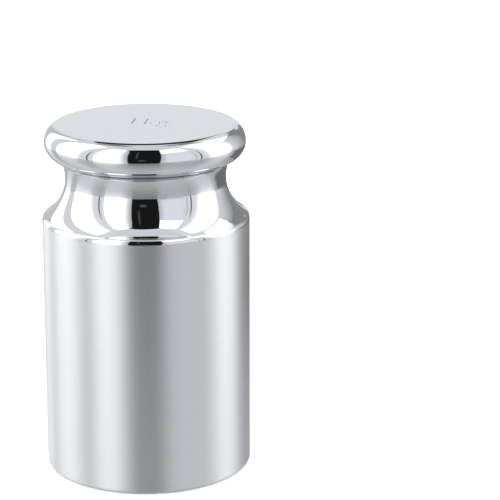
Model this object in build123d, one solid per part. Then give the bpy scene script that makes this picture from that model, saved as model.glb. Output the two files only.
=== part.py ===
from build123d import *
import math
import os

# A one kilogram knob weight, turned all over from one piece of round steel bar and plated.
# Millimetres, +Z up along the turning axis, with the origin in the middle of the resting plane.
#
# The side is a plain cylinder. Above it the outline is five arcs, each tangent to the next: the rounded
# shoulder edge, the hollow shoulder that also makes the neck, the tight throat under the knob, and the
# lower and upper rounds of the knob. The upper round stops short of level and meets the flat top in a
# crease. Underneath, a shallow turned recess leaves a narrow ring, so that the weight stands steady.

# ---- Overall ----
body_diameter = 46.8        # across the plain side
total_height = 79.6         # from the resting ring to the flat top

# ---- Shoulder and neck ----
edge_round = 1.4            # radius of the edge between the side and the shoulder
shoulder_hollow = 10.0      # radius of the hollow that sweeps up from the edge and past the neck
neck_depth = 5.3            # how far the neck is cut in from the side
throat_angle = 18.5         # degrees that the shoulder hollow turns past the neck's narrowest place
throat_hollow = 2.1         # radius of the tighter hollow that then turns out under the knob

# ---- Knob ----
knob_setback = 0.8          # how far the knob's widest place stays in from the side
knob_lower_round = 4.05     # radius below the knob's widest place
knob_upper_round = 4.4      # radius above the knob's widest place
crown_angle = 61.0          # degrees that the upper round turns before it meets the flat top
crown_edge_break = 0.2      # chamfer that takes the sharpness off the crease round the flat top

# ---- Underside ----
base_chamfer = 0.8          # chamfer between the side and the resting ring
ring_width = 4.6            # from the wall of the recess out to the base chamfer
recess_depth = 0.8          # depth of the turned recess inside the ring

# ---- Material ----
steel_density = 7.85e-3     # grams in a cubic millimetre


def rise_between(lower_radius, upper_radius, spread):
    """Height between the centres of two touching circles that lie `spread` apart sideways."""
    return math.sqrt((lower_radius + upper_radius) ** 2 - spread ** 2)


def direction(start, end):
    """Direction from one point of the outline to another, in degrees above outward."""
    return math.degrees(math.atan2(end[1] - start[1], end[0] - start[0]))


def round_arc(centre, radius, start_angle, end_angle):
    """Convex arc of the outline about a centre, from one direction to the other."""
    return CenterArc(centre, radius, start_angle, end_angle - start_angle)


def hollow_arc(centre, radius, start_angle, end_angle):
    """Concave arc of the outline about a centre, from one direction to the other.

    It is the same true circle, drawn as a conic: once turned it needs fewer facets than a torus does.
    """
    half_turn = math.radians(abs(end_angle - start_angle) / 2)
    middle_angle = (start_angle + end_angle) / 2
    start, corner, end = (
        Vector(*centre) + Vector(reach, 0).rotate(Axis.Z, angle)
        for reach, angle in (
            (radius, start_angle),
            (radius / math.cos(half_turn), middle_angle),
            (radius, end_angle),
        )
    )
    return Bezier(start, corner, end, weights=[1, math.cos(half_turn), 1])


def outline_centres():
    """Centres of the five tangent arcs in the outline plane, worked out from the top down."""
    side_radius = body_diameter / 2
    neck_radius = side_radius - neck_depth
    knob_radius = side_radius - knob_setback

    # the throat touches the shoulder hollow from inside, so its centre lies on the line to their handover
    handover = math.radians(throat_angle)
    between_hollows = shoulder_hollow - throat_hollow

    edge_x = side_radius - edge_round
    shoulder_x = neck_radius + shoulder_hollow
    throat_x = shoulder_x - between_hollows * math.cos(handover)
    lower_x = knob_radius - knob_lower_round
    upper_x = knob_radius - knob_upper_round

    knob_z = total_height - knob_upper_round * math.sin(math.radians(crown_angle))
    throat_z = knob_z - rise_between(throat_hollow, knob_lower_round, throat_x - lower_x)
    neck_z = throat_z - between_hollows * math.sin(handover)
    edge_z = neck_z - rise_between(edge_round, shoulder_hollow, shoulder_x - edge_x)
    return {
        "edge": (edge_x, edge_z),
        "shoulder": (shoulder_x, neck_z),
        "throat": (throat_x, throat_z),
        "lower": (lower_x, knob_z),
        "upper": (upper_x, knob_z),
    }


def corner_at(section, radius, height):
    """The corner of a half section that lies nearest to a place in the section's own plane."""
    return section.vertices().sort_by_distance((radius, height))[0]


def turned_outline():
    """Half section of the weight, from its axis outwards, as a face on the XZ plane."""
    centre = outline_centres()
    side_radius = body_diameter / 2
    recess_radius = side_radius - base_chamfer - ring_width
    # directions in which one arc hands over to the next
    edge_to_shoulder = direction(centre["edge"], centre["shoulder"])
    lower_to_throat = direction(centre["lower"], centre["throat"])

    with BuildSketch(Plane.XZ) as section:
        with BuildLine():
            edge = round_arc(centre["edge"], edge_round, 0, edge_to_shoulder)
            hollow_arc(centre["shoulder"], shoulder_hollow, 180 + edge_to_shoulder, 180 - throat_angle)
            hollow_arc(centre["throat"], throat_hollow, 180 - throat_angle, 180 + lower_to_throat)
            round_arc(centre["lower"], knob_lower_round, lower_to_throat, 0)
            crown = round_arc(centre["upper"], knob_upper_round, 0, crown_angle)
            crease = crown @ 1
            Polyline(
                crease,
                (0, total_height),
                (0, recess_depth),
                (recess_radius, recess_depth),
                (recess_radius, 0),
                (side_radius, 0),
                edge @ 0,
            )
        make_face()
        chamfer(corner_at(section, crease.X, total_height), crown_edge_break)
        chamfer(corner_at(section, side_radius, 0), base_chamfer)
    return section.sketch


def weight_body():
    """The whole weight: its outline turned once about the axis."""
    with BuildPart() as weight:
        add(turned_outline())
        revolve(axis=Axis.Z)
    return weight.part


def main():
    """Write the weight's one solid and print what a maker would check."""
    weight = weight_body()
    weight.label = "weight_body"
    os.makedirs("parts", exist_ok=True)
    export_step(weight, "parts/weight_body.step")
    print(f"volume {weight.volume:.0f} mm3, mass {weight.volume * steel_density:.1f} g")


main()
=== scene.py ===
"""Finished look of a one kilogram knob weight: mirror chrome head, satin turned side, engraved top."""
import logging
import math
from dataclasses import dataclass, field
from enum import Enum

import bpy
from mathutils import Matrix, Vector


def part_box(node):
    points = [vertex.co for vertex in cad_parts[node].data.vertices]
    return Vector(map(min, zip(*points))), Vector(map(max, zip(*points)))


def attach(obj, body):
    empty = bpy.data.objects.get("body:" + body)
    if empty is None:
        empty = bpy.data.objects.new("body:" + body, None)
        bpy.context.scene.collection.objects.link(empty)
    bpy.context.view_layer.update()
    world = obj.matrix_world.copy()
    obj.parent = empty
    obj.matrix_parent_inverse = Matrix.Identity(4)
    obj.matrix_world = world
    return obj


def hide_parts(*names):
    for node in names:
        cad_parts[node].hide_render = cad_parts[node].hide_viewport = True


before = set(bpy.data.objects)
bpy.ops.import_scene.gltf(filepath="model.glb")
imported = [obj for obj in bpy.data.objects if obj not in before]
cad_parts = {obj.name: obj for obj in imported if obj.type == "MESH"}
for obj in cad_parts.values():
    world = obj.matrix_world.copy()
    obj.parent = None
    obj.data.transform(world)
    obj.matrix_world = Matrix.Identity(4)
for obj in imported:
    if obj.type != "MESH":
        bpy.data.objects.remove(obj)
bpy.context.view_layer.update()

log = logging.getLogger("knob_weight")

MM = 0.001
HAIR = 0.001 * MM
QUARTER_TURN = math.radians(90.0)
FULL_TURN = 2.0 * math.pi
PICTURE_SIDE = 500
SENSOR_WIDTH = 36.0
HEAD_HEIGHT = 70.0 * MM
CAPITAL_SHARE = 0.7


class Zone(Enum):
    """Parts of the surface that a polisher finishes in different ways."""

    MIRROR = "mirror_chrome"
    SATIN = "satin_chrome"
    TURNED = "turned_base"
    ENGRAVED = "engraved_mark"


# ---------------------------------------------------------------------------------------------
# Small helpers for modelling as by hand
# ---------------------------------------------------------------------------------------------


def deselect_everything() -> None:
    """Leave edit mode and deselect every object."""
    if bpy.context.object is not None and bpy.context.object.mode != "OBJECT":
        bpy.ops.object.mode_set(mode="OBJECT")
    bpy.ops.object.select_all(action="DESELECT")


def activate(piece: bpy.types.Object) -> None:
    """Make one object the only selected and active one.

    Args:
        piece: the object to work on.
    """
    deselect_everything()
    piece.select_set(True)
    bpy.context.view_layer.objects.active = piece


# ---------------------------------------------------------------------------------------------
# Shared shader effects
# ---------------------------------------------------------------------------------------------


@dataclass
class ShaderGroup:
    """A shader node group under construction, with named inputs and outputs."""

    name: str
    inputs: dict[str, float] = field(default_factory=dict)
    outputs: tuple[str, ...] = ()

    def __post_init__(self) -> None:
        """Make the empty group and its sockets."""
        self.tree = bpy.data.node_groups.new(self.name, "ShaderNodeTree")
        for label, value in self.inputs.items():
            socket = self.tree.interface.new_socket(label, in_out="INPUT", socket_type="NodeSocketFloat")
            socket.default_value = value
        for label in self.outputs:
            self.tree.interface.new_socket(label, in_out="OUTPUT", socket_type="NodeSocketFloat")
        self.source = self.tree.nodes.new("NodeGroupInput")
        self.sink = self.tree.nodes.new("NodeGroupOutput")

    def node(self, kind: str, **settings: object) -> bpy.types.Node:
        """Add a node and set its plain properties.

        Args:
            kind: the node's type name.
            settings: property names and values.

        Returns:
            The new node.
        """
        made = self.tree.nodes.new(kind)
        for label, value in settings.items():
            setattr(made, label, value)
        return made

    def link(self, start: bpy.types.NodeSocket, end: bpy.types.NodeSocket) -> None:
        """Join an output to an input.

        Args:
            start: the output.
            end: the input.
        """
        self.tree.links.new(start, end)

    def maths(self, operation: str, *values: object) -> bpy.types.NodeSocket:
        """Add a Math node whose inputs are sockets or numbers.

        Args:
            operation: the Math node's operation.
            values: up to three sockets or numbers.

        Returns:
            The node's output.
        """
        made = self.node("ShaderNodeMath", operation=operation)
        for place, value in enumerate(values):
            if isinstance(value, bpy.types.NodeSocket):
                self.link(value, made.inputs[place])
            else:
                made.inputs[place].default_value = value
        return made.outputs[0]


@dataclass(frozen=True)
class TurningLines:
    """Fine lines that a turning tool leaves round the axis, and the broad streaks that they add up to."""

    line_detail: float = 3.0
    streak_scale: float = 0.06
    streak_detail: float = 2.0

    def group(self) -> bpy.types.NodeTree:
        """Build the effect.

        Returns:
            A group with inputs Pitch (metres), Wander and outputs Height and Streak, both from 0 to 1.
        """
        group = ShaderGroup("turning_lines", {"Pitch": 0.0001, "Wander": 0.3}, ("Height", "Streak"))
        place = group.node("ShaderNodeTexCoord")
        parts = group.node("ShaderNodeSeparateXYZ")
        group.link(place.outputs["Object"], parts.inputs[0])
        radius = group.maths("SQRT", group.maths(
            "ADD",
            group.maths("MULTIPLY", parts.outputs["X"], parts.outputs["X"]),
            group.maths("MULTIPLY", parts.outputs["Y"], parts.outputs["Y"]),
        ))
        # distance along the outline is nearly height on the side and radius on the flats
        along = group.maths("ADD", parts.outputs["Z"], radius)
        turns = group.maths("DIVIDE", along, group.source.outputs["Pitch"])
        fine = self.noise(group, turns, 1.0, self.line_detail)
        broad = self.noise(group, turns, self.streak_scale, self.streak_detail)
        mixed = group.maths("MULTIPLY_ADD", broad, group.source.outputs["Wander"], fine)
        group.link(mixed, group.sink.inputs["Height"])
        group.link(broad, group.sink.inputs["Streak"])
        return group.tree

    def noise(
        self, group: ShaderGroup, turns: bpy.types.NodeSocket, scale: float, detail: float
    ) -> bpy.types.NodeSocket:
        """Add noise that changes from one tool line to the next.

        Args:
            group: the group under construction.
            turns: distance along the outline, counted in tool lines.
            scale: how fast the noise changes.
            detail: the noise's detail.

        Returns:
            The noise's output.
        """
        made = group.node("ShaderNodeTexNoise", noise_dimensions="1D")
        made.inputs["Scale"].default_value = scale
        made.inputs["Detail"].default_value = detail
        group.link(turns, made.inputs["W"])
        return made.outputs["Fac"]


@dataclass(frozen=True)
class Handling:
    """Faint haze and hairline scratches from cleaning and handling."""

    haze_scale: float = 38.0
    haze_detail: float = 4.0
    haze_roughness: float = 0.62
    haze_from: float = 0.42
    haze_to: float = 0.72
    scratch_turn: tuple[float, float, float] = (0.3, 0.5, 0.9)
    scratch_scale: tuple[float, float, float] = (420.0, 60.0, 420.0)
    scratch_width: float = 0.012

    def group(self) -> bpy.types.NodeTree:
        """Build the effect.

        Returns:
            A group with input Amount and outputs Haze and Scratch, both from 0 up.
        """
        group = ShaderGroup("handling", {"Amount": 1.0}, ("Haze", "Scratch"))
        place = group.node("ShaderNodeTexCoord")
        for label, effect in (
            ("Haze", self.haze(group, place.outputs["Object"])),
            ("Scratch", self.scratches(group, place.outputs["Object"])),
        ):
            amount = group.maths("MULTIPLY", effect, group.source.outputs["Amount"])
            group.link(amount, group.sink.inputs[label])
        return group.tree

    def haze(self, group: ShaderGroup, place: bpy.types.NodeSocket) -> bpy.types.NodeSocket:
        """Add the cloudy haze.

        Args:
            group: the group under construction.
            place: the place on the object.

        Returns:
            The haze's output.
        """
        cloud = group.node("ShaderNodeTexNoise")
        cloud.inputs["Scale"].default_value = self.haze_scale
        cloud.inputs["Detail"].default_value = self.haze_detail
        cloud.inputs["Roughness"].default_value = self.haze_roughness
        group.link(place, cloud.inputs["Vector"])
        softened = group.node("ShaderNodeMapRange", interpolation_type="SMOOTHSTEP")
        softened.inputs["From Min"].default_value = self.haze_from
        softened.inputs["From Max"].default_value = self.haze_to
        group.link(cloud.outputs["Fac"], softened.inputs["Value"])
        return softened.outputs["Result"]

    def scratches(self, group: ShaderGroup, place: bpy.types.NodeSocket) -> bpy.types.NodeSocket:
        """Add the hairline scratches.

        Args:
            group: the group under construction.
            place: the place on the object.

        Returns:
            The scratches' output.
        """
        stretched = group.node("ShaderNodeMapping")
        stretched.inputs["Rotation"].default_value = self.scratch_turn
        stretched.inputs["Scale"].default_value = self.scratch_scale
        group.link(place, stretched.inputs["Vector"])
        hair = group.node("ShaderNodeTexVoronoi", feature="DISTANCE_TO_EDGE")
        hair.inputs["Scale"].default_value = 1.0
        group.link(stretched.outputs["Vector"], hair.inputs["Vector"])
        line = group.node("ShaderNodeMapRange")
        line.inputs["From Max"].default_value = self.scratch_width
        line.inputs["To Min"].default_value = 1.0
        line.inputs["To Max"].default_value = 0.0
        group.link(hair.outputs["Distance"], line.inputs["Value"])
        return line.outputs["Result"]


def feather_group() -> bpy.types.NodeTree:
    """Soft edges of a studio card, as shares of its width and height.

    Returns:
        A group with inputs Left, Right, Foot, Top and the output Cover, 1 inside and 0 at the edges.
    """
    sides = {"Left": 0.1, "Right": 0.1, "Foot": 0.02, "Top": 0.1}
    group = ShaderGroup("feather", sides, ("Cover",))
    place = group.node("ShaderNodeTexCoord")
    parts = group.node("ShaderNodeSeparateXYZ")
    group.link(place.outputs["UV"], parts.inputs[0])
    across, up = parts.outputs["X"], parts.outputs["Y"]
    distances = {
        "Left": across,
        "Right": group.maths("SUBTRACT", 1.0, across),
        "Foot": up,
        "Top": group.maths("SUBTRACT", 1.0, up),
    }
    cover = None
    for label, distance in distances.items():
        edge = group.node("ShaderNodeMapRange", interpolation_type="SMOOTHSTEP")
        group.link(distance, edge.inputs["Value"])
        group.link(group.source.outputs[label], edge.inputs["From Max"])
        result = edge.outputs["Result"]
        cover = result if cover is None else group.maths("MULTIPLY", cover, result)
    group.link(cover, group.sink.inputs["Cover"])
    return group.tree


# ---------------------------------------------------------------------------------------------
# Finishes
# ---------------------------------------------------------------------------------------------


@dataclass(frozen=True)
class PlatedFinish:
    """Chrome plate over steel, as bright or as satin as the ground under it was left."""

    zone: Zone
    colour: tuple[float, float, float]
    roughness: float
    haze: float
    scratch: float
    streak: float
    line_pitch: float
    line_depth: float
    spread_along: float = 0.0

    def material(self, turning: bpy.types.NodeTree, handling: bpy.types.NodeTree) -> bpy.types.Material:
        """Build the finish as a material.

        Args:
            turning: the turning lines group.
            handling: the handling group.

        Returns:
            The new material.
        """
        made = bpy.data.materials.new(self.zone.value)
        made.use_nodes = True
        nodes, links = made.node_tree.nodes, made.node_tree.links
        shader = nodes["Principled BSDF"]
        shader.inputs["Metallic"].default_value = 1.0
        shader.inputs["Anisotropic"].default_value = self.spread_along

        lines = nodes.new("ShaderNodeGroup")
        lines.node_tree = turning
        lines.inputs["Pitch"].default_value = self.line_pitch
        marks = nodes.new("ShaderNodeGroup")
        marks.node_tree = handling

        rough = nodes.new("ShaderNodeMath")
        rough.operation = "MULTIPLY_ADD"
        rough.inputs[1].default_value = self.haze
        rough.inputs[2].default_value = self.roughness
        links.new(marks.outputs["Haze"], rough.inputs[0])
        scratched = nodes.new("ShaderNodeMath")
        scratched.operation = "MULTIPLY_ADD"
        scratched.inputs[1].default_value = self.scratch
        links.new(marks.outputs["Scratch"], scratched.inputs[0])
        links.new(rough.outputs[0], scratched.inputs[2])
        links.new(scratched.outputs[0], shader.inputs["Roughness"])

        tone = nodes.new("ShaderNodeMix")
        tone.data_type = "RGBA"
        tone.inputs["A"].default_value = (*self.colour, 1.0)
        tone.inputs["B"].default_value = (*(channel * (1.0 - self.streak) for channel in self.colour), 1.0)
        links.new(lines.outputs["Streak"], tone.inputs["Factor"])
        links.new(tone.outputs["Result"], shader.inputs["Base Color"])

        bump = nodes.new("ShaderNodeBump")
        bump.inputs["Strength"].default_value = 1.0
        bump.inputs["Distance"].default_value = self.line_depth
        links.new(lines.outputs["Height"], bump.inputs["Height"])
        links.new(bump.outputs["Normal"], shader.inputs["Normal"])

        if self.spread_along > 0.0:
            # grooves round the axis scatter light along it, a quarter turn from the tangent
            shader.inputs["Anisotropic Rotation"].default_value = QUARTER_TURN / FULL_TURN
            tangent = nodes.new("ShaderNodeTangent")
            tangent.direction_type = "RADIAL"
            tangent.axis = "Z"
            links.new(tangent.outputs["Tangent"], shader.inputs["Tangent"])
        return made


FINISHES: tuple[PlatedFinish, ...] = (
    PlatedFinish(
        Zone.MIRROR, colour=(0.70, 0.71, 0.745), roughness=0.035, haze=0.02, scratch=0.03, streak=0.015,
        line_pitch=0.06 * MM, line_depth=0.0002 * MM,
    ),
    PlatedFinish(
        Zone.SATIN, colour=(0.705, 0.715, 0.738), roughness=0.43, haze=0.02, scratch=0.03, streak=0.03,
        line_pitch=0.08 * MM, line_depth=0.001 * MM, spread_along=0.85,
    ),
    PlatedFinish(
        Zone.TURNED, colour=(0.50, 0.505, 0.52), roughness=0.32, haze=0.04, scratch=0.05, streak=0.06,
        line_pitch=0.15 * MM, line_depth=0.006 * MM, spread_along=0.6,
    ),
    PlatedFinish(
        Zone.ENGRAVED, colour=(0.58, 0.585, 0.605), roughness=0.38, haze=0.05, scratch=0.0, streak=0.05,
        line_pitch=0.1 * MM, line_depth=0.004 * MM,
    ),
)


# ---------------------------------------------------------------------------------------------
# The weight
# ---------------------------------------------------------------------------------------------


@dataclass
class TurnedOutline:
    """The weight's outline, in metres, drawn by moving one point and then spun about the axis."""

    side_radius: float
    total_height: float
    foot_height: float
    edge_round: float = 1.4 * MM
    shoulder_hollow: float = 10.0 * MM
    neck_depth: float = 5.3 * MM
    throat_turn: float = math.radians(18.5)
    throat_hollow: float = 2.1 * MM
    knob_setback: float = 0.8 * MM
    knob_lower_round: float = 4.05 * MM
    knob_upper_round: float = 4.4 * MM
    crown_turn: float = math.radians(61.0)
    crown_edge_round: float = 2.4 * MM
    base_round: float = 0.9 * MM
    ring_width: float = 4.6 * MM
    ring_reach: float = 5.4 * MM
    recess_depth: float = 0.8 * MM
    recess_corner_round: float = 0.3 * MM
    lip_round: float = 0.15 * MM
    flat_margin: float = 0.35 * MM
    disc_radius: float = 14.0 * MM
    arc_step: float = math.radians(2.0)
    tight_step: float = math.radians(4.0)
    foot_step: float = math.radians(8.0)
    recess_step: float = math.radians(16.0)
    lip_step: float = math.radians(20.0)
    around: int = 256

    def centres(self) -> dict[str, Vector]:
        """Centres of the tangent arcs, worked out from the top down.

        Returns:
            The arc centres by name, on the XZ plane.
        """
        neck_radius = self.side_radius - self.neck_depth
        knob_radius = self.side_radius - self.knob_setback
        # the throat touches the shoulder hollow from inside, on the line through both centres
        between_hollows = self.shoulder_hollow - self.throat_hollow
        edge_x = self.side_radius - self.edge_round
        shoulder_x = neck_radius + self.shoulder_hollow
        throat_x = shoulder_x - between_hollows * math.cos(self.throat_turn)
        lower_x = knob_radius - self.knob_lower_round
        upper_x = knob_radius - self.knob_upper_round
        knob_z = self.total_height - self.knob_upper_round * math.sin(self.crown_turn)
        throat_z = knob_z - math.sqrt(
            (self.throat_hollow + self.knob_lower_round) ** 2 - (throat_x - lower_x) ** 2
        )
        neck_z = throat_z - between_hollows * math.sin(self.throat_turn)
        edge_z = neck_z - math.sqrt(
            (self.edge_round + self.shoulder_hollow) ** 2 - (shoulder_x - edge_x) ** 2
        )
        return {
            "edge": Vector((edge_x, 0.0, edge_z)),
            "shoulder": Vector((shoulder_x, 0.0, neck_z)),
            "throat": Vector((throat_x, 0.0, throat_z)),
            "lower": Vector((lower_x, 0.0, knob_z)),
            "upper": Vector((upper_x, 0.0, knob_z)),
        }


class OutlinePen:
    """Draws an outline on the XZ plane by extruding one vertex through straight runs and arcs."""

    def __init__(self, name: str, x: float, z: float) -> None:
        """Start with a single vertex, made from a small plane merged at its middle.

        Args:
            name: name of the new object.
            x: distance of the first point from the axis.
            z: height of the first point.
        """
        deselect_everything()
        bpy.ops.mesh.primitive_plane_add(size=MM, location=(x, 0.0, z))
        self.piece = bpy.context.object
        self.piece.name = self.piece.data.name = name
        bpy.ops.object.transform_apply(location=True, rotation=True, scale=True)
        bpy.ops.object.mode_set(mode="EDIT")
        bpy.ops.mesh.select_all(action="SELECT")
        bpy.ops.mesh.merge(type="CENTER")
        self.place = Vector((x, 0.0, z))

    def line_to(self, x: float, z: float) -> None:
        """Extrude the last point along a straight run.

        Args:
            x: the run's end, as a distance from the axis.
            z: the height of the run's end.
        """
        target = Vector((x, 0.0, z))
        step = target - self.place
        bpy.ops.mesh.extrude_region_move(TRANSFORM_OT_translate={"value": tuple(step)})
        self.place = target

    def arc(self, centre: Vector, turn: float, step: float) -> None:
        """Spin the last point about a centre.

        Args:
            centre: the arc's centre on the XZ plane.
            turn: angle, positive when it turns from outwards to upwards.
            step: largest angle between two points.
        """
        steps = max(2, math.ceil(abs(turn) / step))
        bpy.ops.mesh.spin(
            steps=steps, angle=turn, center=tuple(centre), axis=(0.0, 1.0, 0.0), use_auto_merge=False
        )
        reach = self.place - centre
        heading = math.atan2(reach.z, reach.x) + turn
        self.place = centre + reach.length * Vector((math.cos(heading), 0.0, math.sin(heading)))

    def spin_round(self, around: int) -> bpy.types.Object:
        """Turn the whole outline about the upright axis.

        Args:
            around: number of steps in the full turn.

        Returns:
            The turned shell, open where the outline stops short of the axis.
        """
        bpy.ops.mesh.select_all(action="SELECT")
        bpy.ops.mesh.spin(steps=around, angle=FULL_TURN, center=(0.0, 0.0, 0.0), axis=(0.0, 0.0, 1.0))
        bpy.ops.mesh.select_all(action="SELECT")
        bpy.ops.mesh.remove_doubles(threshold=HAIR)
        bpy.ops.object.mode_set(mode="OBJECT")
        return self.piece


@dataclass
class EngravedMark:
    """The plain denomination cut into the flat top."""

    words: str = "1 kg"
    cap_height: float = 5.9 * MM
    narrowing: float = 0.80
    stroke_trim: float = 0.022
    word_gap: float = 0.25
    depth: float = 0.05 * MM
    curve_steps: int = 6
    turned: float = math.radians(-7.0)
    shift: tuple[float, float] = (0.6 * MM, 1.2 * MM)

    def cutter(self, top: float) -> bpy.types.Object:
        """Make the solid that is cut away, centred on the top plane.

        Args:
            top: height of the flat top.

        Returns:
            The cutter's mesh object.
        """
        deselect_everything()
        bpy.ops.object.text_add(location=(0.0, 0.0, 0.0))
        cutter = bpy.context.object
        cutter.name = "mark_cutter"
        letters = cutter.data
        letters.body = self.words
        letters.size = self.cap_height / CAPITAL_SHARE
        letters.space_word = self.word_gap
        letters.align_x = "CENTER"
        letters.align_y = "CENTER"
        letters.offset = -self.stroke_trim * letters.size
        letters.resolution_u = self.curve_steps
        letters.bevel_depth = self.depth
        letters.bevel_resolution = 0
        bpy.ops.object.convert(target="MESH")
        cutter.scale = (self.narrowing, 1.0, 1.0)
        bpy.ops.object.transform_apply(location=False, rotation=False, scale=True)
        cutter.rotation_euler = (0.0, 0.0, self.turned)
        cutter.location = (*self.shift, top)
        bpy.ops.object.transform_apply(location=True, rotation=True, scale=True)
        bpy.ops.object.mode_set(mode="EDIT")
        bpy.ops.mesh.select_all(action="SELECT")
        bpy.ops.mesh.remove_doubles(threshold=2.0 * HAIR)
        bpy.ops.mesh.normals_make_consistent(inside=False)
        bpy.ops.object.mode_set(mode="OBJECT")
        return cutter

    def cut_into(self, piece: bpy.types.Object, top: float) -> None:
        """Cut the mark out of a closed piece.

        Args:
            piece: the closed mesh.
            top: height of its flat top.
        """
        cutter = self.cutter(top)
        activate(piece)
        cut = piece.modifiers.new("engraving", "BOOLEAN")
        cut.operation = "DIFFERENCE"
        cut.solver = "EXACT"
        cut.object = cutter
        bpy.ops.object.modifier_apply(modifier=cut.name)
        bpy.data.objects.remove(cutter, do_unlink=True)
        activate(piece)


@dataclass
class KnobWeight:
    """The one turned piece: its outline, its engraving and its finishes."""

    outline: TurnedOutline
    mark: EngravedMark = field(default_factory=EngravedMark)
    name: str = "polished_weight"
    crease_angle: float = math.radians(28.0)

    def build(self) -> bpy.types.Object:
        """Model the weight.

        Returns:
            The finished mesh object, with its place in its mesh.
        """
        piece = self.turned_shell()
        self.close_discs(piece)
        self.mark.cut_into(piece, self.outline.total_height)
        self.smooth(piece)
        return piece

    def turned_shell(self) -> bpy.types.Object:
        """Draw the outline from the top disc's rim to the recess's, and spin it round.

        Returns:
            The turned shell, open at the two discs.
        """
        size = self.outline
        centre = size.centres()
        edge_turn = math.atan2(
            centre["shoulder"].z - centre["edge"].z, centre["shoulder"].x - centre["edge"].x
        )
        lower_turn = math.atan2(
            centre["lower"].z - centre["throat"].z, centre["throat"].x - centre["lower"].x
        )
        # small round that rolls inside the knob's upper round and touches the flat top
        crown_z = size.total_height - size.crown_edge_round
        crown_reach = size.knob_upper_round - size.crown_edge_round
        crown_angle = math.asin((crown_z - centre["upper"].z) / crown_reach)
        crown = Vector((centre["upper"].x + crown_reach * math.cos(crown_angle), 0.0, crown_z))

        pen = OutlinePen(self.name, size.disc_radius, size.total_height)
        pen.line_to(crown.x - size.flat_margin, size.total_height)
        pen.line_to(crown.x, size.total_height)
        pen.arc(crown, crown_angle - QUARTER_TURN, size.tight_step)
        pen.arc(centre["upper"], -crown_angle, size.arc_step)
        pen.arc(centre["lower"], -lower_turn, size.arc_step)
        pen.arc(centre["throat"], lower_turn - size.throat_turn, size.tight_step)
        pen.arc(centre["shoulder"], size.throat_turn + edge_turn, size.arc_step)
        pen.arc(centre["edge"], -edge_turn, size.arc_step)
        self.draw_side_and_foot(pen)
        return pen.spin_round(size.around)

    def draw_side_and_foot(self, pen: OutlinePen) -> None:
        """Carry the outline down the plain side, round the foot and into the recess.

        Args:
            pen: the pen, standing where the shoulder's edge meets the side.
        """
        size = self.outline
        foot = Vector((size.side_radius - size.base_round, 0.0, size.foot_height + size.base_round))
        recess_radius = size.side_radius - size.ring_reach
        pen.line_to(size.side_radius, pen.place.z - size.flat_margin)
        pen.line_to(size.side_radius, foot.z + size.flat_margin)
        pen.line_to(size.side_radius, foot.z)
        pen.arc(foot, -QUARTER_TURN, size.foot_step)
        pen.line_to(foot.x - size.flat_margin, size.foot_height)
        pen.line_to(recess_radius + size.lip_round, size.foot_height)
        lip = Vector((recess_radius + size.lip_round, 0.0, size.foot_height + size.lip_round))
        pen.arc(lip, -QUARTER_TURN, size.lip_step)
        corner_z = size.recess_depth - size.recess_corner_round
        pen.line_to(recess_radius, corner_z)
        corner = Vector((recess_radius - size.recess_corner_round, 0.0, corner_z))
        pen.arc(corner, QUARTER_TURN, size.recess_step)
        pen.line_to(corner.x - size.flat_margin, size.recess_depth)

    def close_discs(self, piece: bpy.types.Object) -> None:
        """Fill the two open discs, on top and in the recess, each with one flat face.

        Args:
            piece: the turned shell.
        """
        activate(piece)
        bpy.ops.object.mode_set(mode="EDIT")
        bpy.ops.mesh.select_mode(type="EDGE")
        bpy.ops.mesh.select_all(action="DESELECT")
        bpy.ops.mesh.select_non_manifold(
            extend=False, use_wire=False, use_boundary=True, use_multi_face=False,
            use_non_contiguous=False, use_verts=False,
        )
        bpy.ops.mesh.edge_face_add()
        bpy.ops.mesh.select_mode(type="FACE")
        bpy.ops.mesh.select_all(action="SELECT")
        bpy.ops.mesh.normals_make_consistent(inside=False)
        bpy.ops.object.mode_set(mode="OBJECT")

    def smooth(self, piece: bpy.types.Object) -> None:
        """Shade smooth up to real corners, with flats kept flat.

        Args:
            piece: the closed and engraved mesh.
        """
        activate(piece)
        bpy.ops.object.shade_smooth_by_angle(angle=self.crease_angle)
        weighted = piece.modifiers.new("flats_kept_flat", "WEIGHTED_NORMAL")
        weighted.mode = "FACE_AREA"
        weighted.keep_sharp = True
        bpy.ops.object.modifier_apply(modifier=weighted.name)

    def zone_of(self, face: bpy.types.MeshPolygon) -> Zone:
        """Finish of one face, told by where it lies.

        Args:
            face: a face of the finished mesh.

        Returns:
            The face's zone.
        """
        size = self.outline
        middle = face.center
        reach = math.hypot(middle.x, middle.y)
        sunk = size.total_height - middle.z
        if 2.0 * HAIR < sunk < 2.0 * self.mark.depth and reach < size.disc_radius:
            return Zone.ENGRAVED
        if middle.z < size.base_round and reach < size.side_radius - size.base_round:
            return Zone.TURNED
        if middle.z < size.centres()["edge"].z:
            return Zone.SATIN
        return Zone.MIRROR

    def dress(self, piece: bpy.types.Object, materials: dict[Zone, bpy.types.Material]) -> None:
        """Give each face the material of its zone.

        Args:
            piece: the finished mesh.
            materials: the material of each zone.
        """
        zones = list(Zone)
        piece.data.materials.clear()
        for zone in zones:
            piece.data.materials.append(materials[zone])
        numbers = [zones.index(self.zone_of(face)) for face in piece.data.polygons]
        piece.data.polygons.foreach_set("material_index", numbers)
        piece.data.update()


# ---------------------------------------------------------------------------------------------
# The studio
# ---------------------------------------------------------------------------------------------


def move_vertex(piece: bpy.types.Object, number: int, place: Vector) -> None:
    """Move one vertex of the active piece, as by hand in edit mode.

    Args:
        piece: the active mesh object, at the origin.
        number: the vertex's number.
        place: where it goes.
    """
    bpy.ops.object.mode_set(mode="EDIT")
    bpy.ops.mesh.select_all(action="DESELECT")
    bpy.ops.object.mode_set(mode="OBJECT")
    vertex = piece.data.vertices[number]
    move = place - vertex.co
    vertex.select = True
    bpy.ops.object.mode_set(mode="EDIT")
    bpy.ops.transform.translate(value=tuple(move))
    bpy.ops.object.mode_set(mode="OBJECT")


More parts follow.
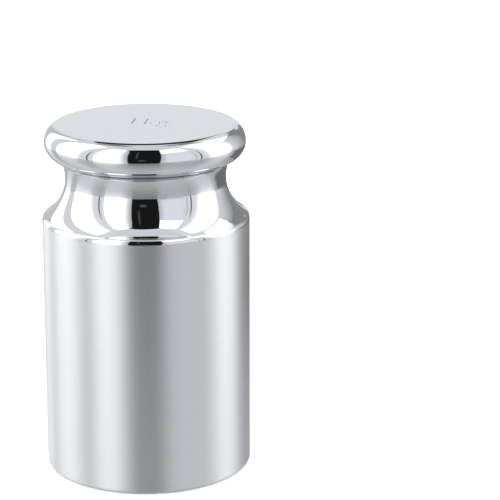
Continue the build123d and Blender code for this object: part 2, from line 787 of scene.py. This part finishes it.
@dataclass(frozen=True)
class StudioCard:
    """A lit or dark card standing round the weight, given by directions seen from the weight's head.

    Directions and rises are in degrees. A direction is 0 towards the camera and positive to the right.
    """

    name: str
    foot_from: float
    foot_to: float
    top_from: float
    top_to: float
    foot_rise: float
    top_rise: float
    glow: float
    foot_distance: float = 0.42
    top_distance: float = 0.32
    soft_left: float = 0.05
    soft_right: float = 0.05
    soft_foot: float = 0.005
    soft_top: float = 0.05
    tint: tuple[float, float, float] = (1.0, 1.0, 1.0)

    def corner(self, direction: float, rise: float, distance: float) -> Vector:
        """Place of a corner, no lower than the floor.

        Args:
            direction: the corner's direction, in degrees.
            rise: its rise above the level of the weight's head, in degrees.
            distance: its distance from the weight's axis.

        Returns:
            The corner's place.
        """
        angle = math.radians(direction)
        height = max(0.0, HEAD_HEIGHT + distance * math.tan(math.radians(rise)))
        return Vector((distance * math.sin(angle), -distance * math.cos(angle), height))

    def build(self, feather: bpy.types.NodeTree) -> bpy.types.Object:
        """Add the card, pull its corners into place and light it.

        Args:
            feather: the soft edge group.

        Returns:
            The card's object.
        """
        deselect_everything()
        bpy.ops.mesh.primitive_plane_add(size=1.0)
        card = bpy.context.object
        card.name = self.name
        wanted = {
            (-1, -1): self.corner(self.foot_from, self.foot_rise, self.foot_distance),
            (1, -1): self.corner(self.foot_to, self.foot_rise, self.foot_distance),
            (-1, 1): self.corner(self.top_from, self.top_rise, self.top_distance),
            (1, 1): self.corner(self.top_to, self.top_rise, self.top_distance),
        }
        corners = [(round(2.0 * vertex.co.x), round(2.0 * vertex.co.y)) for vertex in card.data.vertices]
        for number, corner in enumerate(corners):
            move_vertex(card, number, wanted[corner])
        card.data.materials.append(self.material(feather))
        card.visible_camera = False
        card.visible_shadow = False
        return card

    def material(self, feather: bpy.types.NodeTree) -> bpy.types.Material:
        """An even glow that fades out at the card's edges.

        Args:
            feather: the soft edge group.

        Returns:
            The card's material.
        """
        made = bpy.data.materials.new(self.name)
        made.use_nodes = True
        nodes, links = made.node_tree.nodes, made.node_tree.links
        nodes.clear()
        edges = nodes.new("ShaderNodeGroup")
        edges.node_tree = feather
        for label, value in (
            ("Left", self.soft_left), ("Right", self.soft_right),
            ("Foot", self.soft_foot), ("Top", self.soft_top),
        ):
            edges.inputs[label].default_value = value
        glow = nodes.new("ShaderNodeEmission")
        glow.inputs["Color"].default_value = (*self.tint, 1.0)
        glow.inputs["Strength"].default_value = self.glow
        clear = nodes.new("ShaderNodeBsdfTransparent")
        mixed = nodes.new("ShaderNodeMixShader")
        links.new(edges.outputs["Cover"], mixed.inputs[0])
        links.new(clear.outputs[0], mixed.inputs[1])
        links.new(glow.outputs[0], mixed.inputs[2])
        output = nodes.new("ShaderNodeOutputMaterial")
        links.new(mixed.outputs[0], output.inputs["Surface"])
        return made


BRIGHT = 2.4
COOL = (0.965, 0.985, 1.04)

CARDS: tuple[StudioCard, ...] = (
    # straight ahead, where the camera stands
    StudioCard(
        "dark_gap", -32.0, 32.0, -42.0, 42.0, -12.0, 60.0, 0.012,
        foot_distance=0.52, top_distance=0.38, soft_top=0.03,
    ),
    StudioCard(
        "gap_streak", -8.5, -5.2, -8.5, -5.5, 12.0, 57.0, 0.09,
        foot_distance=0.34, top_distance=0.25, soft_left=0.3, soft_right=0.3, soft_foot=0.3, soft_top=0.3,
    ),
    StudioCard(
        "gap_spot", -7.0, 5.0, -7.0, 5.0, 3.0, 11.0, 0.13,
        foot_distance=0.34, top_distance=0.34, soft_left=0.4, soft_right=0.4, soft_foot=0.4, soft_top=0.4,
    ),
    # the left side, from front to back
    StudioCard(
        "front_left_edge", -38.0, -15.5, -40.0, -21.0, -12.0, 61.0, 0.55,
        foot_distance=0.43, top_distance=0.33, soft_right=0.03,
    ),
    StudioCard("front_left_card", -56.5, -14.0, -59.0, -20.7, -12.0, 62.0, BRIGHT, soft_right=0.5),
    StudioCard(
        "left_grey", -86.0, -55.0, -86.0, -58.0, -12.0, 50.0, 0.95,
        foot_distance=0.47, top_distance=0.37, soft_top=0.2,
    ),
    StudioCard(
        "left_seam", -65.4, -62.2, -65.4, -62.2, -12.0, 46.0, 0.12,
        foot_distance=0.45, top_distance=0.35, soft_left=0.4, soft_right=0.4, soft_top=0.6,
    ),
    StudioCard("left_card", -113.5, -72.0, -113.5, -66.0, -12.0, 62.0, BRIGHT, soft_right=0.35),
    StudioCard(
        "left_band", -127.5, -110.0, -127.5, -110.0, -12.0, 50.0, 0.9,
        foot_distance=0.46, top_distance=0.36, soft_top=0.2,
    ),
    StudioCard(
        "back_left_card", -146.0, -126.0, -144.0, -126.0, -12.0, 47.0, BRIGHT,
        soft_left=0.1, soft_right=0.15, soft_top=0.15,
    ),
    StudioCard(
        "back_left_band", -164.0, -145.0, -164.0, -145.0, -12.0, 45.0, 0.68,
        foot_distance=0.46, top_distance=0.36, soft_left=0.3,
    ),
    # the right side, from front to back
    StudioCard(
        "front_right_card", 18.0, 58.0, 21.0, 58.0, -9.0, 42.0, 1.0,
        foot_distance=0.42, top_distance=0.36, soft_left=0.3, soft_right=0.15, soft_foot=0.12,
        soft_top=0.03, tint=COOL,
    ),
    StudioCard(
        "front_right_edge", 18.0, 32.0, 26.5, 38.0, -12.0, 61.0, 0.62,
        foot_distance=0.43, top_distance=0.33, soft_left=0.03,
    ),
    StudioCard(
        "front_right_high_card", 22.0, 60.0, 26.0, 62.0, 40.0, 62.0, BRIGHT,
        foot_distance=0.36, top_distance=0.31, soft_left=0.1, soft_foot=0.1,
    ),
    StudioCard(
        "right_grey", 55.0, 84.0, 58.0, 84.0, -12.0, 48.0, 0.95,
        foot_distance=0.47, top_distance=0.37, soft_top=0.2,
    ),
    StudioCard(
        "right_line", 58.5, 62.0, 58.5, 62.0, -12.0, 40.0, 0.6,
        foot_distance=0.41, top_distance=0.33, soft_left=0.5, soft_right=0.5, soft_top=0.3,
    ),
    StudioCard(
        "right_seam", 65.2, 68.4, 65.2, 68.4, -12.0, 46.0, 0.12,
        foot_distance=0.45, top_distance=0.35, soft_left=0.4, soft_right=0.4, soft_top=0.6,
    ),
    StudioCard("right_card", 73.0, 118.0, 66.0, 118.0, -12.0, 62.0, BRIGHT, soft_left=0.42, soft_right=0.3),
    StudioCard(
        "back_right_haze", 154.0, 172.0, 154.0, 172.0, 10.0, 22.0, 0.85,
        foot_distance=0.44, top_distance=0.42, soft_left=0.3, soft_right=0.3, soft_foot=0.3, soft_top=0.3,
    ),
    StudioCard(
        "back_right_grey", 112.0, 168.0, 112.0, 168.0, -12.0, 30.0, 0.3,
        foot_distance=0.5, top_distance=0.45, soft_right=0.1, soft_top=0.1,
    ),
    StudioCard(
        "back_right_glow", 112.0, 154.0, 112.0, 150.0, -12.0, 30.0, 0.85,
        foot_distance=0.46, top_distance=0.42, soft_right=0.85, soft_top=0.1,
    ),
    StudioCard(
        "back_right_card", 116.0, 143.0, 116.0, 141.0, 27.0, 56.0, 1.6,
        foot_distance=0.42, top_distance=0.34, soft_left=0.1, soft_right=0.15, soft_foot=0.15, soft_top=0.2,
    ),
    # painted shadow: a dim low card behind on the right stands for the shade that the case casts on the
    # table top
    StudioCard(
        "back_right_case_shadow_card", 112.0, 170.0, 112.0, 170.0, -25.0, -8.0, 0.19,
        foot_distance=0.15, top_distance=0.15, soft_left=0.2, soft_top=0.2,
    ),
    # overhead and behind
    StudioCard(
        "back_dark", 175.0, 184.5, 150.0, 211.0, 18.5, 54.0, 0.03,
        foot_distance=0.4, top_distance=0.28, soft_left=0.12, soft_right=0.08, soft_foot=0.03, soft_top=0.05,
    ),
    StudioCard(
        "back_right_top_dark", 128.0, 164.0, 128.0, 164.0, 54.0, 75.0, 0.2,
        foot_distance=0.44, top_distance=0.23, soft_left=0.15, soft_right=0.3, soft_foot=0.2,
    ),
    StudioCard(
        "back_left_top_dark", 196.0, 232.0, 196.0, 232.0, 54.0, 75.0, 0.2,
        foot_distance=0.44, top_distance=0.23, soft_left=0.3, soft_right=0.15, soft_foot=0.2,
    ),
)

@dataclass
class Studio:
    """A plain pale floor in even white light, with cards for the polished metal to mirror."""

    floor_side: float = 6.0
    floor_roughness: float = 0.9
    floor_colour: tuple[float, float, float] = (0.84, 0.84, 0.845)
    floor_lift: float = 0.40
    far_floor_lift: float = 1.0
    shade_from: float = 350.0 * MM
    shade_to: float = 650.0 * MM
    table_colour: tuple[float, float, float] = (0.22, 0.22, 0.222)
    table_lift: float = 0.17
    pool_lift: float = 0.32
    pool_from: float = 40.0 * MM
    pool_to: float = 200.0 * MM
    table_index: float = 2.0
    table_roughness: float = 0.25
    table_drop: float = 0.2 * MM
    mottle_scale: float = 9.0
    mottle_shade: float = 0.98
    room_glow: float = 0.93
    room_colour: tuple[float, float, float] = (0.99, 1.0, 1.015)
    roof_glow: float = 0.85
    roof_height: float = 0.95
    roof_side: float = 0.70
    roof_softness: float = 0.1

    def build(self) -> None:
        """Add the floor, the table top that the metal mirrors, the room's light, the roof and the cards."""
        feather = feather_group()
        self.add_floor()
        self.add_table_top()
        self.add_room()
        self.add_roof(feather)
        for card in CARDS:
            card.build(feather)
        log.info("studio: floor, table top, roof and %d cards", len(CARDS))

    def plane(self, name: str, side: float, height: float) -> bpy.types.Object:
        """Add a level square.

        Args:
            name: the object's name.
            side: its side.
            height: its height.

        Returns:
            The plane.
        """
        deselect_everything()
        bpy.ops.mesh.primitive_plane_add(size=side, location=(0.0, 0.0, height))
        made = bpy.context.object
        made.name = name
        return made

    def mottled(self, name: str, colour: tuple[float, float, float]) -> bpy.types.Material:
        """A plain surface whose tone wanders very slightly.

        Args:
            name: the material's name.
            colour: its colour.

        Returns:
            The material.
        """
        made = bpy.data.materials.new(name)
        made.use_nodes = True
        nodes, links = made.node_tree.nodes, made.node_tree.links
        shader = nodes["Principled BSDF"]
        grain = nodes.new("ShaderNodeTexNoise")
        grain.inputs["Scale"].default_value = self.mottle_scale
        place = nodes.new("ShaderNodeTexCoord")
        links.new(place.outputs["Object"], grain.inputs["Vector"])
        tone = nodes.new("ShaderNodeMix")
        tone.data_type = "RGBA"
        tone.inputs["A"].default_value = (*colour, 1.0)
        tone.inputs["B"].default_value = (*(self.mottle_shade * channel for channel in colour), 1.0)
        links.new(grain.outputs["Fac"], tone.inputs["Factor"])
        links.new(tone.outputs["Result"], shader.inputs["Base Color"])
        return made

    def fade(
        self,
        look: bpy.types.Material,
        distance: bpy.types.NodeSocket,
        span: tuple[float, float],
        values: tuple[float, float],
    ) -> bpy.types.NodeSocket:
        """Let a value change softly over a span of distance.

        Args:
            look: the material that gets the node.
            distance: the distance.
            span: where the change starts and ends.
            values: the value before the span and after it.

        Returns:
            The value's output.
        """
        made = look.node_tree.nodes.new("ShaderNodeMapRange")
        made.interpolation_type = "SMOOTHSTEP"
        labels = ("From Min", "From Max", "To Min", "To Max")
        for label, value in zip(labels, (*span, *values)):
            made.inputs[label].default_value = value
        look.node_tree.links.new(distance, made.inputs["Value"])
        return made.outputs["Result"]

    def pool_of_light(self, look: bpy.types.Material, near: float, far: float) -> None:
        """Give a level surface a glow of its own that changes with the distance from the weight.

        Args:
            look: a material made by mottled.
            near: the glow close to the weight.
            far: the glow further out.
        """
        nodes, links = look.node_tree.nodes, look.node_tree.links
        shader = nodes["Principled BSDF"]
        shader.inputs["Emission Color"].default_value = (1.0, 1.0, 1.0, 1.0)
        reach = nodes.new("ShaderNodeVectorMath")
        reach.operation = "LENGTH"
        links.new(nodes["Texture Coordinate"].outputs["Object"], reach.inputs[0])
        pool = self.fade(look, reach.outputs["Value"], (self.pool_from, self.pool_to), (near, far))
        links.new(pool, shader.inputs["Emission Strength"])

    def shade_far_sides(self, look: bpy.types.Material) -> None:
        """Let a level surface's glow fall away far out to the left and right of the weight.

        Args:
            look: a material that already has a pool of light.
        """
        nodes, links = look.node_tree.nodes, look.node_tree.links
        shader = nodes["Principled BSDF"]
        glow = shader.inputs["Emission Strength"].links[0].from_socket
        apart = nodes.new("ShaderNodeSeparateXYZ")
        links.new(nodes["Texture Coordinate"].outputs["Object"], apart.inputs[0])
        sideways = nodes.new("ShaderNodeMath")
        sideways.operation = "ABSOLUTE"
        links.new(apart.outputs["X"], sideways.inputs[0])
        shade = self.fade(look, sideways.outputs[0], (self.shade_from, self.shade_to), (1.0, 0.0))
        shaded = nodes.new("ShaderNodeMath")
        shaded.operation = "MULTIPLY"
        links.new(glow, shaded.inputs[0])
        links.new(shade, shaded.inputs[1])
        links.new(shaded.outputs[0], shader.inputs["Emission Strength"])

    def add_floor(self) -> None:
        """Lay the wide pale floor that the camera sees."""
        floor = self.plane("floor", self.floor_side, 0.0)
        look = self.mottled("pale_floor", self.floor_colour)
        shader = look.node_tree.nodes["Principled BSDF"]
        shader.inputs["Roughness"].default_value = self.floor_roughness
        shader.inputs["Specular IOR Level"].default_value = 0.0
        self.pool_of_light(look, self.floor_lift, self.far_floor_lift)
        self.shade_far_sides(look)
        floor.data.materials.append(look)
        floor.visible_glossy = False
        floor.visible_diffuse = False
        floor.visible_shadow = False

    def add_table_top(self) -> None:
        """Lay the glossy grey table top that only the polished metal mirrors."""
        table = self.plane("table_top", self.floor_side, -self.table_drop)
        look = self.mottled("glossy_table", self.table_colour)
        shader = look.node_tree.nodes["Principled BSDF"]
        shader.inputs["IOR"].default_value = self.table_index
        shader.inputs["Roughness"].default_value = self.table_roughness
        self.pool_of_light(look, self.pool_lift, self.table_lift)
        table.data.materials.append(look)
        table.visible_camera = False
        table.visible_shadow = False

    def add_room(self) -> None:
        """Fill the room with one even white light."""
        world = bpy.data.worlds.new("white_room")
        bpy.context.scene.world = world
        world.use_nodes = True
        background = world.node_tree.nodes["Background"]
        background.inputs["Color"].default_value = (*self.room_colour, 1.0)
        background.inputs["Strength"].default_value = self.room_glow

    def add_roof(self, feather: bpy.types.NodeTree) -> None:
        """Hang a dimmer roof over the weight.

        Args:
            feather: the soft edge group.
        """
        roof = self.plane("roof_card", self.roof_side, self.roof_height)
        soft = self.roof_softness
        look = StudioCard(
            "roof_card", 0.0, 0.0, 0.0, 0.0, 0.0, 0.0, self.roof_glow,
            soft_left=soft, soft_right=soft, soft_foot=soft, soft_top=soft,
        )
        roof.data.materials.append(look.material(feather))
        roof.visible_camera = False
        roof.visible_shadow = False


@dataclass(frozen=True)
class ProductCamera:
    """A long lens, a little above and in front of the weight."""

    place: tuple[float, float, float] = (0.02343, -0.4884, 0.1940)
    down: float = math.radians(16.42)
    focal_pixels: float = 2247.0
    nearest: float = 10.0 * MM
    farthest: float = 20.0

    def build(self) -> bpy.types.Object:
        """Add the camera and make it the scene's.

        Returns:
            The camera object.
        """
        deselect_everything()
        bpy.ops.object.camera_add(location=self.place, rotation=(QUARTER_TURN - self.down, 0.0, 0.0))
        camera = bpy.context.object
        camera.name = "product_camera"
        camera.data.sensor_width = SENSOR_WIDTH
        camera.data.lens = self.focal_pixels * SENSOR_WIDTH / PICTURE_SIDE
        camera.data.clip_start = self.nearest
        camera.data.clip_end = self.farthest
        bpy.context.scene.camera = camera
        return camera


def main() -> None:
    """Build the studio, the camera and the weight."""
    logging.basicConfig(level=logging.INFO, format="%(name)s: %(message)s")
    scene = bpy.context.scene
    scene.view_settings.view_transform = "Standard"

    ProductCamera().build()
    Studio().build()

    low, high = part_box("weight_body")
    outline = TurnedOutline(
        side_radius=min(high[0], high[1]) - HAIR,
        total_height=high[2] - HAIR,
        foot_height=low[2] + HAIR,
    )
    weight = KnobWeight(outline)
    piece = weight.build()
    turning, handling = TurningLines().group(), Handling().group()
    weight.dress(piece, {finish.zone: finish.material(turning, handling) for finish in FINISHES})
    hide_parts("weight_body")
    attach(piece, "root")
    log.info("%s: %d faces", piece.name, len(piece.data.polygons))


if __name__ == "__main__":
    main()
